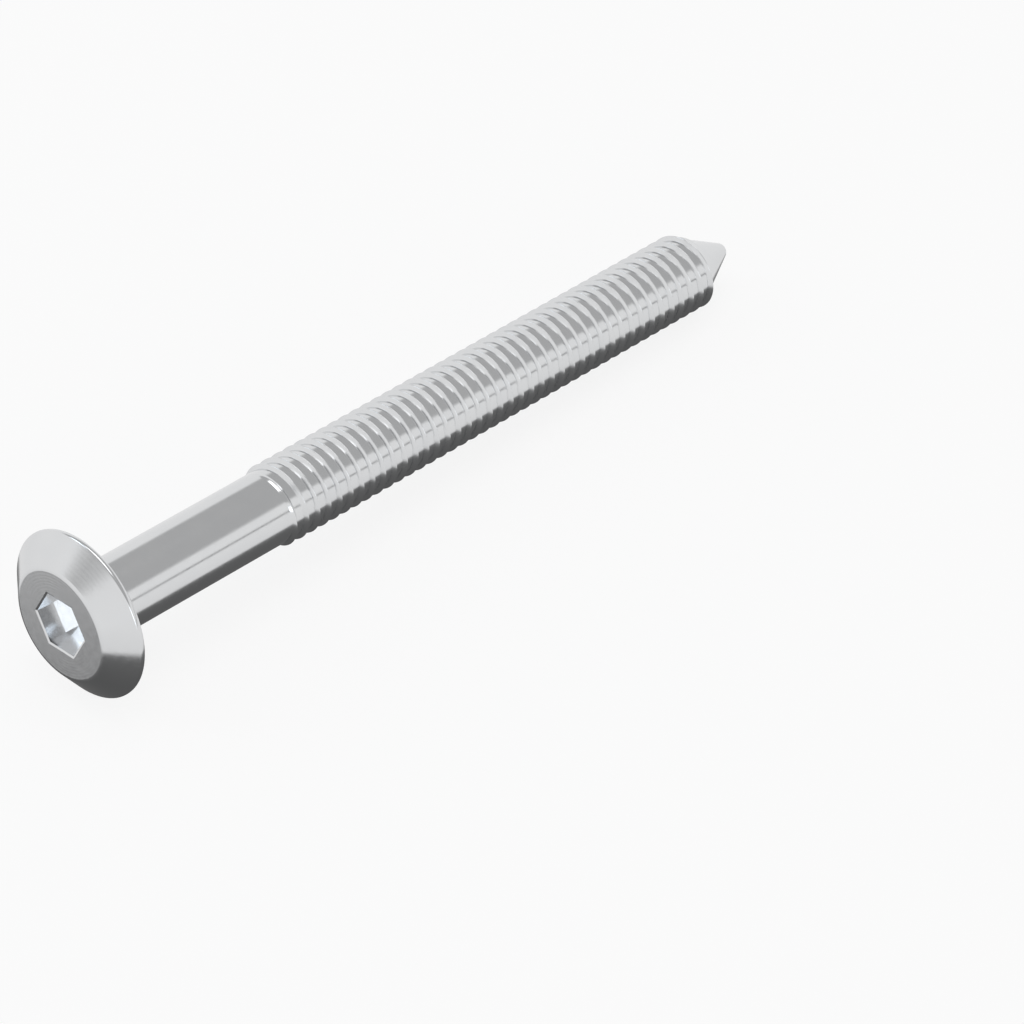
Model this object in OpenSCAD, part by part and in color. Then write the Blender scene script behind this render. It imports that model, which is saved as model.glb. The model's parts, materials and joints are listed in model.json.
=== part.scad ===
// Flat-headed joining screw with a hex socket, a plain shank, a rolled thread and a cone point.
// It lies as it comes to rest: on the rim of its head and the last full turn of its thread.
// Its axis runs along +X from the head to the point, and +Z is up.

/* [Head] */
// Widest diameter of the head, across its rim
head_d = 16.4; // [14:0.1:24]
// Diameter at which the bevel would meet the flat face, were that edge sharp
face_d = 11; // [9:0.1:13]
// Height of the bevel, from the face to the rim
bevel_h = 2.22; // [1:0.01:4]
// Height of the rim, from the bevel to the underside
rim_h = 0.57; // [0.52:0.01:2]
// Radius that softens the edge between face and bevel
face_round = 0.6; // [0.2:0.05:1.5]
// Radius that softens the edge between bevel and rim
bevel_round = 0.22; // [0.05:0.01:0.3]
// Radius that softens the rim's lower edge
rim_round = 0.4; // [0.05:0.01:0.42]

/* [Socket] */
// Width of the hex socket across its flats
socket_af = 5.05; // [3:0.05:6]
// Depth of the socket below the face
socket_h = 1.85; // [1:0.05:3]
// Width of the chamfer around the socket's mouth
mouth_w = 0.32; // [0.05:0.01:0.5]
// Depth of the chamfer around the socket's mouth
mouth_h = 0.1; // [0.05:0.01:0.5]
// Turn of the socket's corners about the axis, in degrees
socket_turn = 28.2; // [0:0.1:60]

/* [Collar and shank] */
// Diameter of the collar where it leaves the underside of the head
collar_d = 10.6; // [9:0.1:12.5]
// Height of the collar's cone, from the underside to the shank
collar_h = 1.9; // [0.8:0.05:3]
// Radius that blends the collar into the head's underside
collar_round = 0.3; // [0.05:0.01:0.5]
// Radius that blends the collar into the shank
neck_round = 0.6; // [0.05:0.05:1]
// Diameter of the plain shank, which is also the blank that the thread is rolled on
shank_d = 7.1; // [6.6:0.01:7.4]

/* [Thread] */
// Outer diameter of the thread
thread_d = 7.88; // [7.6:0.01:8.6]
// Advance of the thread in one turn
pitch = 1.411; // [1:0.001:1.6]
// Distance from the head's face to the crest at which the thread starts
thread_start = 24.78; // [12:0.05:60]
// Turn about the axis of the thread's start, in degrees
thread_turn = 142; // [0:0.5:360]
// Angle between the two flanks of one groove, in degrees
flank_angle = 60; // [55:1:70]
// Distance by which the thread runs out onto the point's cone
thread_over = 1.2; // [0.5:0.05:2.5]
// Turns over which the thread rises from the blank at each end
fade_turns = 0.55; // [0.25:0.05:1]

/* [Point] */
// Overall length, from the face of the head to the tip
overall_l = 87.6; // [60:0.1:140]
// Length of the cone, from the shank's diameter to the tip
point_l = 5.9; // [4:0.01:12]
// Radius of the rounded tip
tip_r = 0.9; // [0.1:0.05:1.2]

/* [Hidden] */

// Sides of the polygon that stands for the round thread
thread_sides = 24;
// Flat width of a crest and of a groove's root, as shares of the pitch
crest_share = 0.125;
root_share = 0.1667;
// Flat steps in each rounded edge of an outline
arc_steps = 6;
// Sides of a hexagon
hex_sides = 6;
// Overrun of a cut past the face that it opens
overrun = 0.5;
// Amount by which the thread's ends lie inside the shank and the cone
seat = 0.02;
// Depth to which the solids of shank, thread and cone run into each other
lap = 0.6;
// Gap between the cone's core and the thread's root around it
core_gap = 0.24;

$fn = 96;

head_r = head_d / 2;
face_r = face_d / 2;
collar_r = collar_d / 2;
shank_r = shank_d / 2;
thread_r = thread_d / 2;
head_h = bevel_h + rim_h;
collar_end = head_h + collar_h;

crest_w = pitch * crest_share;
flank_w = pitch * (1 - crest_share - root_share) / 2;
root_r = thread_r - flank_w / tan(flank_angle / 2);
core_r = root_r - core_gap;
ridge_reach = crest_w / 2 + flank_w;
shank_end = thread_start - pitch / 2;

cone_start = overall_l - point_l;
tip_centre = point_l - tip_r;
cone_angle = acos(tip_r / norm([shank_r, tip_centre])) - atan2(tip_centre, shank_r);
thread_turns = (cone_start + thread_over - thread_start) / pitch;
whole_turns = ceil(thread_turns);
thread_end = thread_start + whole_turns * pitch;

// The rest: a line that touches the rounded rim and the last full crest on the low side
rim_z = head_h - rim_round;
rim_r = head_r - rim_round;
low_turn = (360 - thread_turn) % 360 / 360;
last_low_turn = floor(thread_turns - fade_turns - low_turn) + low_turn;
tail_z = thread_start + last_low_turn * pitch + crest_w / 2;
tilt = atan2(rim_r - thread_r, tail_z - rim_z) + asin(rim_round / norm([rim_r - thread_r, tail_z - rim_z]));
rest_h = rim_z * sin(tilt) + rim_r * cos(tilt) + rim_round;

// The middle of the tilted screw's length, between its face's lower edge and its tip
bevel_slope = atan2(bevel_h, head_r - face_r);
face_round_r = face_r - face_round * tan(bevel_slope / 2);
back_x = face_round * cos(tilt) - face_round_r * sin(tilt) - face_round;
front_x = (overall_l - tip_r) * cos(tilt) + tip_r;
middle_x = (back_x + front_x) / 2;

// The corner at q between p and r, as an arc of the given radius
function corner(p, q, r, radius) =
    let (
        a = (p - q) / norm(p - q),
        b = (r - q) / norm(r - q),
        half = acos(a * b) / 2,
        centre = q + (a + b) / norm(a + b) * radius / sin(half),
        from = q + a * radius / tan(half) - centre,
        to = q + b * radius / tan(half) - centre,
        first = atan2(from.y, from.x),
        sweep = atan2(cross(from, to), from * to)
    )
    radius == 0 ? [q] : [
        for (i = [0:arc_steps])
            centre + radius * [cos(first + sweep * i / arc_steps), sin(first + sweep * i / arc_steps)]
    ];

// An outline whose corners are rounded, each by its own radius
function rounded(points, radii) = [
    for (i = [0:len(points) - 1])
        let (before = points[(i + len(points) - 1) % len(points)], after = points[(i + 1) % len(points)])
            each corner(before, points[i], after, radii[i])
];

// Head, collar and plain shank, turned from one outline, whose seam lies on top
module blank() {
    outline = [
        [0, 0],
        [face_r, 0],
        [head_r, bevel_h],
        [head_r, head_h],
        [collar_r, head_h],
        [shank_r, collar_end],
        [shank_r, shank_end],
        [0, shank_end]
    ];
    radii = [0, face_round, bevel_round, rim_round, collar_round, neck_round, 0, 0];
    rotate([0, 0, 180])
        rotate_extrude()
            polygon(rounded(outline, radii));
}

// The hex socket and the chamfer around its mouth, to be cut from the head
module socket() {
    socket_r = socket_af / 2 / cos(180 / hex_sides);
    mouth_r = (socket_af / 2 + mouth_w) / cos(180 / hex_sides);
    flare = (mouth_r - socket_r) / mouth_h * overrun;
    rotate([0, 0, socket_turn]) {
        translate([0, 0, -overrun])
            cylinder(h = socket_h + overrun, r = socket_r, $fn = hex_sides);
        translate([0, 0, -overrun])
            cylinder(h = mouth_h + overrun, r1 = mouth_r + flare, r2 = socket_r, $fn = hex_sides);
    }
}

// Radius of the blank at a distance from the face: the plain rod, then its cone
function blank_r(z) = min(shank_r, shank_r - (z - cone_start) * tan(cone_angle));

// How far the thread has risen at a number of turns from its start, from 0 to 1
function strength(turns) = max(0, min(1, turns / fade_turns, (thread_turns - turns) / fade_turns));

// Radius of a crest, which rises from just inside the blank
function crest_r(z, turns) =
    let (base = blank_r(z) - seat)
        base + strength(turns) * (thread_r - base);

// Radius at a ridge's foot, which sinks from just inside the blank with the groove beside it
function foot_r(z, groove_turns) =
    let (base = blank_r(z) - seat)
        base + strength(groove_turns) * (min(root_r, base) - base);

// The rolled thread: each column of points runs up one side of the rod, through every crest and root.
// The last column meets the first one turn further on, which makes the helix.
module thread() {
    per_turn = 4;
    back = shank_end - lap;
    front = thread_end + ridge_reach + seat;
    rows = 2 + per_turn * whole_turns;
    last = thread_sides - 1;
    top = rows - 1;

    function place(column, z, r) =
        let (angle = thread_turn + 360 * column / thread_sides)
            [r * cos(angle), r * sin(angle), z];
    function foot(column, z, side, groove_turns) =
        let (
            r = foot_r(z + side * ridge_reach, groove_turns),
            reach = min(ridge_reach, crest_w / 2 + (thread_r - r) * tan(flank_angle / 2))
        )
            place(column, z + side * reach, r);
    function at(column, row) = column * rows + row;

    // A foot, both edges of the crest and the other foot: four points of each ridge in each column
    points = [
        for (column = [0:last])
            each [
                place(column, back, shank_r - seat),
                for (turn = [0:whole_turns - 1])
                    let (turns = turn + column / thread_sides, z = thread_start + turns * pitch)
                        each [
                            foot(column, z, -1, turns - 1),
                            place(column, z - crest_w / 2, crest_r(z, turns)),
                            place(column, z + crest_w / 2, crest_r(z, turns)),
                            foot(column, z, 1, turns)
                        ],
                place(column, front, blank_r(front) - seat)
            ]
    ];
    sides = [
        for (column = [0:last - 1], row = [0:top - 1])
            each [
                [at(column, row), at(column, row + 1), at(column + 1, row + 1)],
                [at(column, row), at(column + 1, row + 1), at(column + 1, row)]
            ]
    ];
    seam = [
        for (row = [1:top - per_turn - 2])
            each [
                [at(last, row), at(last, row + 1), at(0, row + per_turn + 1)],
                [at(last, row), at(0, row + per_turn + 1), at(0, row + per_turn)]
            ]
    ];
    seam_start = [
        for (row = [0:per_turn]) [at(last, 0), at(0, row + 1), at(0, row)],
        [at(last, 0), at(last, 1), at(0, per_turn + 1)]
    ];
    seam_end = [
        for (row = [top - per_turn - 1:top - 1]) [at(last, row), at(last, row + 1), at(0, top)],
        [at(last, top - per_turn - 1), at(0, top), at(0, top - 1)]
    ];
    ends = [
        [for (column = [0:last]) at(column, 0)],
        [for (column = [last:-1:0]) at(column, top)]
    ];
    polyhedron(points, concat(sides, seam, seam_start, seam_end, ends));
}

// The cone and its rounded tip, on a core that runs back into the thread
module point() {
    tip_z = overall_l - tip_r;
    tip = [
        for (i = [0:arc_steps])
            let (angle = cone_angle + (90 - cone_angle) * i / arc_steps)
                [tip_r * cos(angle), tip_z + tip_r * sin(angle)]
    ];
    core = [
        [0, cone_start - lap],
        [core_r, cone_start - lap],
        [core_r, cone_start],
        [shank_r, cone_start]
    ];
    rotate_extrude()
        polygon(concat(core, tip));
}

module screw() {
    color("silver")
        translate([-middle_x, 0, rest_h])
            rotate([0, tilt, 0])
                rotate([0, 90, 0]) {
                    difference() {
                        blank();
                        socket();
                    }
                    thread();
                    point();
                }
}

screw();
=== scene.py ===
import json
from math import acos, atan2, cos, pi, radians, sin, tan

import bpy
from mathutils import Matrix, Vector


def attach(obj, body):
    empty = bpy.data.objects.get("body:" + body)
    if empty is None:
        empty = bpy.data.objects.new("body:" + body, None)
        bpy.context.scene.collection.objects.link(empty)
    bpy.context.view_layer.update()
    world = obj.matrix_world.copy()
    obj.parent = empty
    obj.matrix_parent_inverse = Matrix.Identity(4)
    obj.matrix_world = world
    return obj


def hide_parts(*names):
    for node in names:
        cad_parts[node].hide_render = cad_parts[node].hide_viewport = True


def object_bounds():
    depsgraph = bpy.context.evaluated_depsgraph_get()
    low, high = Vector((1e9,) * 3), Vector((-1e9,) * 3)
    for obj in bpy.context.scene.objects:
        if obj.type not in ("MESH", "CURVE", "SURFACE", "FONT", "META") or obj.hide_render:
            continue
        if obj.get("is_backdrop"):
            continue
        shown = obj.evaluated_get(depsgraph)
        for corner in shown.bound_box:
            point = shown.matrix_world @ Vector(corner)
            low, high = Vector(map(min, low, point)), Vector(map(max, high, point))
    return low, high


MM = 0.001

# Sizes in millimetres, the same as in the part's source
FACE_R = 5.5
HEAD_R = 8.2
BEVEL_H = 2.22
HEAD_H = 2.79
FACE_ROUND = 0.6
BEVEL_ROUND = 0.22
RIM_ROUND = 0.4
COLLAR_R = 5.3
COLLAR_H = 1.9
COLLAR_ROUND = 0.3
NECK_ROUND = 0.6
SHANK_R = 3.55
SOCKET_FLAT = 2.525
SOCKET_H = 1.85
# The punched socket's walls lean outwards a little, by this much from the floor to the mouth
SOCKET_DRAFT = 0.14
SOCKET_TURN = 28.2
MOUTH_W = 0.32
MOUTH_H = 0.1
THREAD_R = 3.94
PITCH = 1.411
THREAD_START = 24.78
THREAD_TURN = 142
THREAD_TURNS = 41.19
FADE_TURNS = 0.55
OVERALL_L = 87.6
POINT_L = 5.9
TIP_R = 0.9

# The thread as the photo shows it: narrow rounded ridges that stand on the shank's own cylinder
CREST_W = 0.06
FLANK_W = 0.25
ROOT_R = 3.56
CREST_ROUND = 0.05
ROOT_ROUND = 0.02

# How the mesh is divided
SIDES = 96
ARC_STEPS = 6
THREAD_ARC_STEPS = 3
MERGE = 0.02

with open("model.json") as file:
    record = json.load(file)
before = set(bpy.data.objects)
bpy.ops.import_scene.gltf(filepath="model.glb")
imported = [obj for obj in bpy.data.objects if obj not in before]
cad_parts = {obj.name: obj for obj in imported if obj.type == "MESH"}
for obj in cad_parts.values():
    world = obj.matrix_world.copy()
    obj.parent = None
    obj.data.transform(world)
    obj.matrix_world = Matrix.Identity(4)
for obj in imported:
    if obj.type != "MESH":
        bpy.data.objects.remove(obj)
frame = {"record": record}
bounds_at_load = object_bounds()


def corner(p, q, r, radius, steps):
    """The corner at q between p and r as an arc."""
    if radius == 0:
        return [q]
    a, b = (p - q).normalized(), (r - q).normalized()
    half = a.angle(b) / 2
    centre = q + (a + b).normalized() * radius / sin(half)
    start, end = q + a * radius / tan(half) - centre, q + b * radius / tan(half) - centre
    first = atan2(start.y, start.x)
    sweep = atan2(start.x * end.y - start.y * end.x, start.dot(end))
    return [
        centre + radius * Vector((cos(first + sweep * i / steps), sin(first + sweep * i / steps)))
        for i in range(steps + 1)
    ]


def rounded(outline, radii, steps):
    """The points of an open outline with its inner corners rounded."""
    points = [outline[0]]
    for i in range(1, len(outline) - 1):
        points += corner(outline[i - 1], outline[i], outline[i + 1], radii[i - 1], steps)
    return points + [outline[-1]]


def supported(points):
    """Adds a point beside each end of a long straight run, which keeps the shading of the run flat."""
    result = [points[0]]
    for a, b in zip(points, points[1:]):
        if (b - a).length > 8 * MERGE:
            step = (b - a).normalized() * MERGE
            result += [a + step, b - step]
        result.append(b)
    return result


class Shell:
    """Collects the vertices and faces of a mesh in millimetres."""

    def __init__(self):
        self.points = []
        self.faces = []
        self.sharp = []

    def add(self, x, y, z):
        self.points.append((x * MM, y * MM, z * MM))
        return len(self.points) - 1

    def ring(self, z, radius):
        """A ring of vertices. The radius is a number or a function of the angle."""
        ring = []
        for j in range(SIDES):
            angle = column_angle(j)
            r = radius(angle) if callable(radius) else radius
            ring.append(self.add(r * cos(angle), r * sin(angle), z))
        return ring

    def face(self, *corners):
        kept = []
        for c in corners:
            if c not in kept:
                kept.append(c)
        if len(kept) > 2:
            self.faces.append(kept)

    def skin(self, a, b):
        """Joins two rings."""
        for j in range(SIDES):
            k = (j + 1) % SIDES
            self.face(a[j], b[j], b[k], a[k])

    def edges_of(self, ring):
        self.sharp += [frozenset((ring[j], ring[(j + 1) % SIDES])) for j in range(SIDES)]


def column_angle(j):
    return radians(SOCKET_TURN) + 2 * pi * j / SIDES


def hexagon(flat):
    """The radius of a hexagon whose corners lie at the socket's turn, as a function of the angle."""

    def radius(angle):
        part = (angle - radians(SOCKET_TURN)) % (pi / 3) - pi / 6
        return flat / cos(part)

    return radius


def blank_radius(z):
    """The rod and the cone under the thread."""
    return min(SHANK_R, SHANK_R - (z - CONE_START) * tan(CONE_ANGLE))


def strength(turns):
    """How far the thread has risen, from 0 to 1."""
    share = max(0, min(1, turns / FADE_TURNS, (THREAD_TURNS - turns) / FADE_TURNS))
    return share * share * (3 - 2 * share)


CONE_START = OVERALL_L - POINT_L
TIP_CENTRE = POINT_L - TIP_R
CONE_ANGLE = acos(TIP_R / (SHANK_R**2 + TIP_CENTRE**2) ** 0.5) - atan2(TIP_CENTRE, SHANK_R)


def thread_radius(z, turns, offset, radius):
    """The radius at a point of the thread: a ridge rises above the blank, and the groove beside it sinks below."""
    base = blank_radius(z)
    if base < ROOT_R:
        radius = base + (radius - ROOT_R) / (THREAD_R - ROOT_R) * (THREAD_R - base)
    if radius < base:
        turns -= offset < 0
    return base + strength(turns) * (radius - base)


def thread_period():
    """One period of the thread's outline: offsets from the crest and radii, crest and root rounded."""
    crest, foot = CREST_W / 2, CREST_W / 2 + FLANK_W
    outline = [
        Vector((foot - PITCH, ROOT_R)),
        Vector((-foot, ROOT_R)),
        Vector((-crest, THREAD_R)),
        Vector((crest, THREAD_R)),
        Vector((foot, ROOT_R)),
        Vector((PITCH - foot, ROOT_R)),
    ]
    radii = [ROOT_ROUND, CREST_ROUND, CREST_ROUND, ROOT_ROUND]
    points = rounded(outline, radii, THREAD_ARC_STEPS)[1:-1]
    next_ridge = points[0] + Vector((PITCH, 0))
    return supported(points + [next_ridge])[:-1]


def screw_mesh():
    shell = Shell()

    # Socket, its mouth and the flat face around it
    floor_centre = shell.add(0, 0, SOCKET_H)
    floor = shell.ring(SOCKET_H, hexagon(SOCKET_FLAT))
    wall_top = shell.ring(MOUTH_H, hexagon(SOCKET_FLAT + SOCKET_DRAFT))
    mouth = shell.ring(0, hexagon(SOCKET_FLAT + MOUTH_W))
    for j in range(SIDES):
        shell.face(floor_centre, floor[j], floor[(j + 1) % SIDES])
    shell.skin(floor, wall_top)
    shell.skin(wall_top, mouth)
    for ring in (floor, wall_top, mouth):
        shell.edges_of(ring)
    for j in range(0, SIDES, SIDES // 6):
        shell.sharp.append(frozenset((floor[j], wall_top[j])))
        shell.sharp.append(frozenset((wall_top[j], mouth[j])))

    # Head, collar and shank, up to the thread
    thread_low = THREAD_START - PITCH
    thread_high = THREAD_START + (THREAD_TURNS + 1) * PITCH
    outline = [
        Vector((0, 0)),
        Vector((0, FACE_R)),
        Vector((BEVEL_H, HEAD_R)),
        Vector((HEAD_H, HEAD_R)),
        Vector((HEAD_H, COLLAR_R)),
        Vector((HEAD_H + COLLAR_H, SHANK_R)),
        Vector((thread_low, SHANK_R)),
    ]
    radii = [FACE_ROUND, BEVEL_ROUND, RIM_ROUND, COLLAR_ROUND, NECK_ROUND]
    points = supported(rounded(outline, radii, ARC_STEPS))[2:]
    last = mouth
    for p in points:
        ring = shell.ring(p.x, p.y)
        shell.skin(last, ring)
        last = ring
    low_ring = last

    # Thread: rows follow the helix, and rows that would leave the thread's length end in its two rings
    high_ring = shell.ring(thread_high, blank_radius(thread_high))
    period = thread_period()
    per_turn = len(period)
    first_turn = ((SOCKET_TURN - THREAD_TURN) / 360) % 1 - 3
    rows = per_turn * (int(THREAD_TURNS) + 6)
    made = {}

    def at(j, row):
        if j == SIDES:
            j, row = 0, row + per_turn
        if (j, row) in made:
            return made[j, row]
        turns = first_turn + row // per_turn + j / SIDES
        offset, radius = period[row % per_turn]
        z = THREAD_START + turns * PITCH + offset
        if z <= thread_low:
            vertex = low_ring[j]
        elif z >= thread_high:
            vertex = high_ring[j]
        else:
            r = thread_radius(z, turns, offset, radius)
            angle = column_angle(j)
            vertex = shell.add(r * cos(angle), r * sin(angle), z)
        made[j, row] = vertex
        return vertex

    for row in range(rows):
        for j in range(SIDES):
            shell.face(at(j, row), at(j, row + 1), at(j + 1, row + 1), at(j + 1, row))

    # Cone and tip
    tip_z = OVERALL_L - TIP_R
    last = high_ring
    for i in range(ARC_STEPS):
        angle = CONE_ANGLE + (pi / 2 - CONE_ANGLE) * i / ARC_STEPS
        ring = shell.ring(tip_z + TIP_R * sin(angle), TIP_R * cos(angle))
        shell.skin(last, ring)
        last = ring
    tip = shell.add(0, 0, OVERALL_L)
    for j in range(SIDES):
        shell.face(last[j], tip, last[(j + 1) % SIDES])

    mesh = bpy.data.meshes.new("screw_fine")
    mesh.from_pydata(shell.points, [], shell.faces)
    mesh.polygons.foreach_set("use_smooth", [True] * len(mesh.polygons))
    sharp = set(shell.sharp)
    for edge in mesh.edges:
        edge.use_edge_sharp = frozenset(edge.vertices) in sharp
    mesh.update()
    mesh.validate()
    return mesh


def principled(name):
    material = bpy.data.materials.new(name)
    material.use_nodes = True
    return material, material.node_tree.nodes, material.node_tree.links


# The plating: colours it wavers between, roughness, and sizes in millimetres of its mottling, grain and turning marks
PLATING_LOW = (0.755, 0.765, 0.78, 1)
PLATING_HIGH = (0.805, 0.81, 0.815, 1)
ROUGHNESS_LOW = 0.1
ROUGHNESS_HIGH = 0.17
MOTTLE = 2.5
GRAIN = 0.22
GRAIN_HEIGHT = 0.0009
RING_STEP = 0.3
RING_HEIGHT = 0.0003


def noise(nodes, links, place, size, detail):
    texture = nodes.new("ShaderNodeTexNoise")
    texture.inputs["Scale"].default_value = 1 / (size * MM)
    texture.inputs["Detail"].default_value = detail
    links.new(place, texture.inputs["Vector"])
    return texture.outputs["Fac"]


def steel(placing):
    """Bright plating: cloudy in colour and gloss, with a fine grain and faint turning marks round the axis."""
    material, nodes, links = principled("plated_steel")
    shader = nodes["Principled BSDF"]
    shader.inputs["Metallic"].default_value = 1
    about_axis = nodes.new("ShaderNodeMapping")
    about_axis.vector_type = "TEXTURE"
    about_axis.inputs["Location"].default_value = placing.to_translation()
    about_axis.inputs["Rotation"].default_value = placing.to_euler()
    links.new(nodes.new("ShaderNodeTexCoord").outputs["Object"], about_axis.inputs["Vector"])
    place = about_axis.outputs["Vector"]
    cloud = noise(nodes, links, place, MOTTLE, 4)

    tone = nodes.new("ShaderNodeMix")
    tone.data_type = "RGBA"
    tone.inputs["A"].default_value = PLATING_LOW
    tone.inputs["B"].default_value = PLATING_HIGH
    links.new(cloud, tone.inputs["Factor"])
    links.new(tone.outputs["Result"], shader.inputs["Base Color"])

    gloss = nodes.new("ShaderNodeMapRange")
    gloss.inputs["From Min"].default_value = 0.3
    gloss.inputs["From Max"].default_value = 0.7
    gloss.inputs["To Min"].default_value = ROUGHNESS_LOW
    gloss.inputs["To Max"].default_value = ROUGHNESS_HIGH
    links.new(noise(nodes, links, place, MOTTLE / 4, 3), gloss.inputs["Value"])
    links.new(gloss.outputs["Result"], shader.inputs["Roughness"])

    grain = nodes.new("ShaderNodeBump")
    grain.inputs["Distance"].default_value = GRAIN_HEIGHT * MM
    links.new(noise(nodes, links, place, GRAIN, 2), grain.inputs["Height"])
    rings = nodes.new("ShaderNodeTexWave")
    rings.wave_type = "RINGS"
    rings.rings_direction = "Z"
    rings.inputs["Scale"].default_value = pi / 10 / (RING_STEP * MM)
    rings.inputs["Distortion"].default_value = 1.5
    links.new(place, rings.inputs["Vector"])
    marks = nodes.new("ShaderNodeBump")
    marks.inputs["Distance"].default_value = RING_HEIGHT * MM
    links.new(rings.outputs["Fac"], marks.inputs["Height"])
    links.new(grain.outputs["Normal"], marks.inputs["Normal"])
    links.new(marks.outputs["Normal"], shader.inputs["Normal"])
    return material


# How white the floor is, and the share of its plain white that the camera sees in place of its shading
FLOOR_WHITE = 0.9
CAMERA_WHITE = 0.85


def ramp_from(nodes, links, value, low, high, stops):
    """A grey ramp over a value that runs from low to high."""
    spread = nodes.new("ShaderNodeMapRange")
    spread.inputs["From Min"].default_value = low
    spread.inputs["From Max"].default_value = high
    links.new(value, spread.inputs["Value"])
    ramp = nodes.new("ShaderNodeValToRGB")
    links.new(spread.outputs[0], ramp.inputs[0])
    elements = ramp.color_ramp.elements
    while len(elements) < len(stops):
        elements.new(0.5)
    for element, (place, level) in zip(elements, stops):
        element.position = (place - low) / (high - low)
        element.color = (level, level, level, 1)
    return ramp.outputs[0]


def floor_material():
    """White to the camera with a faint shadow. Metal mirrors the studio's lower half, with its painted shadow below the
    screw, in its place.
    """
    material, nodes, links = principled("white_floor")
    nodes.remove(nodes["Principled BSDF"])
    path = nodes.new("ShaderNodeLightPath")
    white = nodes.new("ShaderNodeEmission")
    diffuse = nodes.new("ShaderNodeBsdfDiffuse")
    diffuse.inputs["Color"].default_value = (FLOOR_WHITE, FLOOR_WHITE, FLOOR_WHITE, 1)
    open_to_metal = nodes.new("ShaderNodeBsdfTransparent")
    seen = nodes.new("ShaderNodeMath")
    seen.operation = "MULTIPLY"
    seen.inputs[1].default_value = CAMERA_WHITE
    links.new(path.outputs["Is Camera Ray"], seen.inputs[0])
    to_camera = nodes.new("ShaderNodeMixShader")
    links.new(seen.outputs[0], to_camera.inputs[0])
    links.new(diffuse.outputs[0], to_camera.inputs[1])
    links.new(white.outputs[0], to_camera.inputs[2])
    to_metal = nodes.new("ShaderNodeMixShader")
    links.new(path.outputs["Is Glossy Ray"], to_metal.inputs[0])
    links.new(to_camera.outputs[0], to_metal.inputs[1])
    links.new(open_to_metal.outputs[0], to_metal.inputs[2])
    links.new(to_metal.outputs[0], nodes["Material Output"].inputs["Surface"])
    return material


WALL = 0.86
# The studio by the sine of a direction's elevation: painted shadow straight below the screw, a dark ground that stands
# in for the screw's shadow on the floor as the metal mirrors it and brightens quickly towards the distance, and bright
# walls. A thin grey line runs along part of the horizon.
STUDIO_AND_PAINTED_SHADOW = [
    (-1, 0.1),
    (-0.707, 0.13),
    (-0.62, 0.17),
    (-0.59, 0.3),
    (-0.545, 0.8),
    (-0.01, WALL),
    (1, WALL),
]
HORIZON = [(-1, 0), (-0.01, 0), (0.01, 1), (0.065, 1), (0.085, 0), (1, 0)]
HORIZON_GREY = 0.4
SOFT_EDGE = 0.04
# The azimuth round which the horizon line shows, and the cosine of its spread
LINE_SIDE = 37
LINE_SPREAD = 0.75
# Behind the screw the painted shadow stops and the ground stays bright, round this azimuth and elevation and up to the
# given angle
BEHIND_SIDE = 130
BEHIND_LIFT = -4
BEHIND_REACH = 34
# A grey ceiling that leans a little forward
CEILING = 0.46
CEILING_SIDE = 0
CEILING_LEAN = 3
CEILING_REACH = 62


def build_world():
    world = bpy.data.worlds.new("studio")
    world.use_nodes = True
    bpy.context.scene.world = world
    nodes, links = world.node_tree.nodes, world.node_tree.links
    direction = nodes.new("ShaderNodeTexCoord")
    split = nodes.new("ShaderNodeSeparateXYZ")
    links.new(direction.outputs["Generated"], split.inputs[0])
    # The bright walls, and the painted shadow of the screw on the ground straight below it
    walls_and_painted_shadow = ramp_from(nodes, links, split.outputs["Z"], -1, 1, STUDIO_AND_PAINTED_SHADOW)

    def towards(azimuth, elevation, stops):
        """A ramp over the cosine of the angle to a direction."""
        lean = nodes.new("ShaderNodeVectorMath")
        lean.operation = "DOT_PRODUCT"
        lean.inputs[1].default_value = heading(azimuth, elevation)
        links.new(direction.outputs["Generated"], lean.inputs[0])
        return ramp_from(nodes, links, lean.outputs["Value"], -1, 1, stops)

    def painted(under, share, grey):
        mix = nodes.new("ShaderNodeMix")
        mix.data_type = "RGBA"
        links.new(share, mix.inputs["Factor"])
        links.new(under, mix.inputs["A"])
        mix.inputs["B"].default_value = (grey, grey, grey, 1)
        return mix.outputs["Result"]

    along_horizon = nodes.new("ShaderNodeMath")
    along_horizon.operation = "MULTIPLY"
    links.new(ramp_from(nodes, links, split.outputs["Z"], -1, 1, HORIZON), along_horizon.inputs[0])
    spread = [(-1, 0), (LINE_SPREAD - 0.15, 0), (LINE_SPREAD + 0.1, 1), (1, 1)]
    links.new(towards(LINE_SIDE, 0, spread), along_horizon.inputs[1])
    lined = painted(walls_and_painted_shadow, along_horizon.outputs[0], HORIZON_GREY)

    def disc(azimuth, elevation, angle):
        reach = cos(radians(angle))
        return towards(azimuth, elevation, [(-1, 0), (reach - SOFT_EDGE, 0), (reach + SOFT_EDGE, 1), (1, 1)])

    backed = painted(lined, disc(BEHIND_SIDE, BEHIND_LIFT, BEHIND_REACH), WALL)
    roofed = painted(backed, disc(CEILING_SIDE, 90 - CEILING_LEAN, CEILING_REACH), CEILING)
    links.new(roofed, nodes["Background"].inputs["Color"])


def softbox(name, direction, distance, radius, level, colour):
    """A round lamp that shines from a direction towards the screw with a given brightness."""
    light = bpy.data.lights.new(name, "AREA")
    light.shape = "DISK"
    light.size = 2 * radius
    light.energy = level * pi * pi * radius**2
    light.color = colour
    lamp = bpy.data.objects.new(name, light)
    bpy.context.scene.collection.objects.link(lamp)
    lamp.matrix_world = Matrix.Translation(direction * distance) @ direction.to_track_quat("Z", "Y").to_matrix().to_4x4()


def heading(azimuth, elevation):
    a, e = radians(azimuth), radians(elevation)
    return Vector((sin(a) * cos(e), -cos(a) * cos(e), sin(e)))


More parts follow.
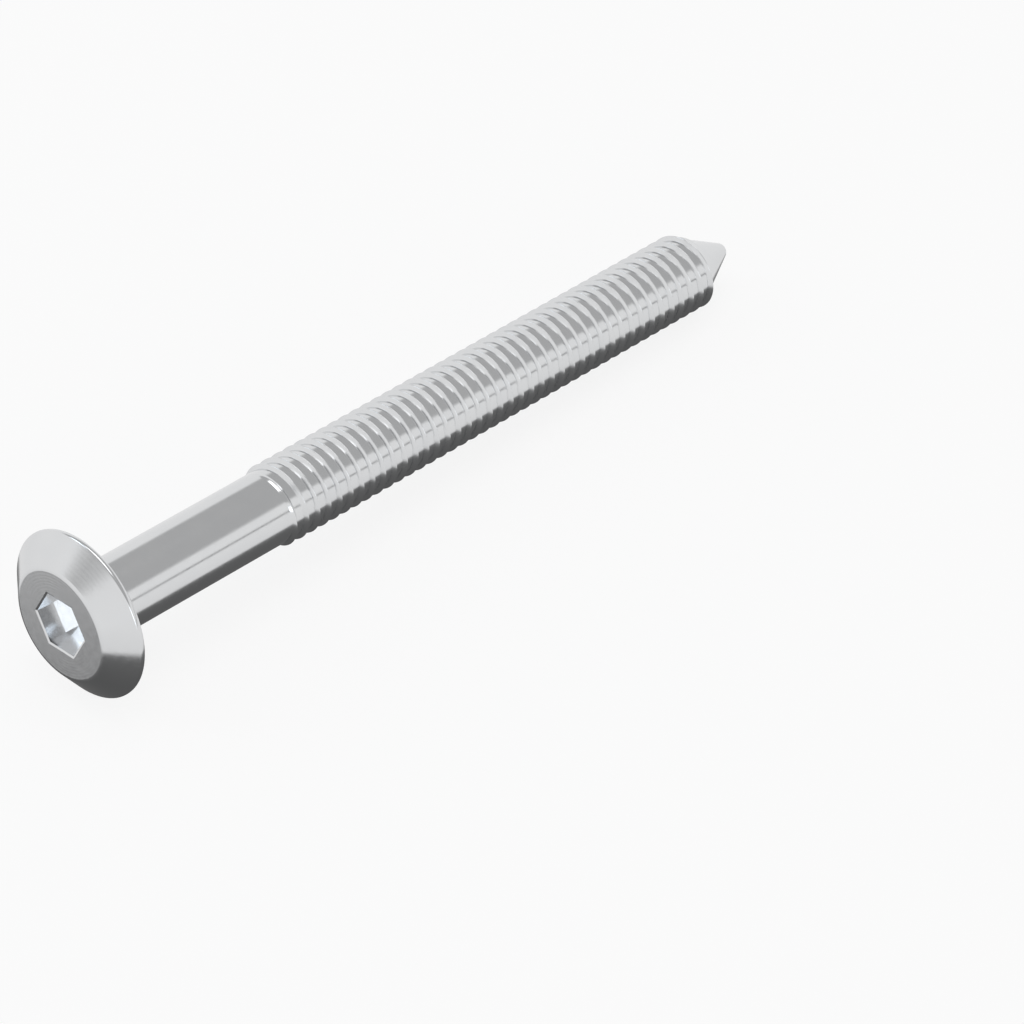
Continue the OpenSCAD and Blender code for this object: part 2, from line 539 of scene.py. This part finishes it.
mounts = {m["name"]: m for m in frame["record"]["mounts"]}
face_centre = Vector(mounts["hex_socket"]["pos_m"])
along = -Vector(mounts["hex_socket"]["axis"]).normalized()
side = Vector((0, 1, 0))
down = side.cross(along)

placing = Matrix.Translation(face_centre) @ Matrix((down, side, along)).transposed().to_4x4()
screw = bpy.data.objects.new("screw_fine", screw_mesh())
bpy.context.scene.collection.objects.link(screw)
screw.data.transform(placing)
screw.data.materials.append(steel(placing))
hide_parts("screw")
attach(screw, "root")

bpy.ops.mesh.primitive_plane_add(size=6, location=(0, 0, 0))
floor = bpy.context.object
floor.name = "floor"
floor.rotation_euler.z = radians(2)
floor.data.materials.append(floor_material())
floor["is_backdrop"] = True

build_world()
softbox("overhead", heading(0, 90), 1.0, 0.46, 1.25, (1, 1, 1))
softbox("front", heading(-48, 7), 0.8, 0.14, 1.25, (0.84, 0.92, 1))
softbox("side", heading(-137, 41), 0.8, 0.16, 1.7, (0.8, 0.9, 1))

VIEW_AZIMUTH = radians(-46.18)
VIEW_ELEVATION = radians(38.876)
VIEW_DISTANCE = 0.41423
AIM_RIGHT = 0.039696
AIM_UP = 0.009955
back = Vector((sin(VIEW_AZIMUTH) * cos(VIEW_ELEVATION), -cos(VIEW_AZIMUTH) * cos(VIEW_ELEVATION), sin(VIEW_ELEVATION)))
right = Vector((cos(VIEW_AZIMUTH), sin(VIEW_AZIMUTH), 0))
aim = face_centre + right * AIM_RIGHT + back.cross(right) * AIM_UP
camera_data = bpy.data.cameras.new("camera")
camera_data.lens = 165.86
camera_data.sensor_width = 36
camera = bpy.data.objects.new("camera", camera_data)
bpy.context.scene.collection.objects.link(camera)
camera.matrix_world = Matrix.Translation(aim + back * VIEW_DISTANCE) @ back.to_track_quat("Z", "Y").to_matrix().to_4x4()
bpy.context.scene.camera = camera

bpy.context.scene.view_settings.view_transform = "Standard"


def as_lists(value):
    if isinstance(value, (int, float)):
        return value
    return [as_lists(v) for v in value]


{"load": as_lists(bounds_at_load), "finish": as_lists(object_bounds())}
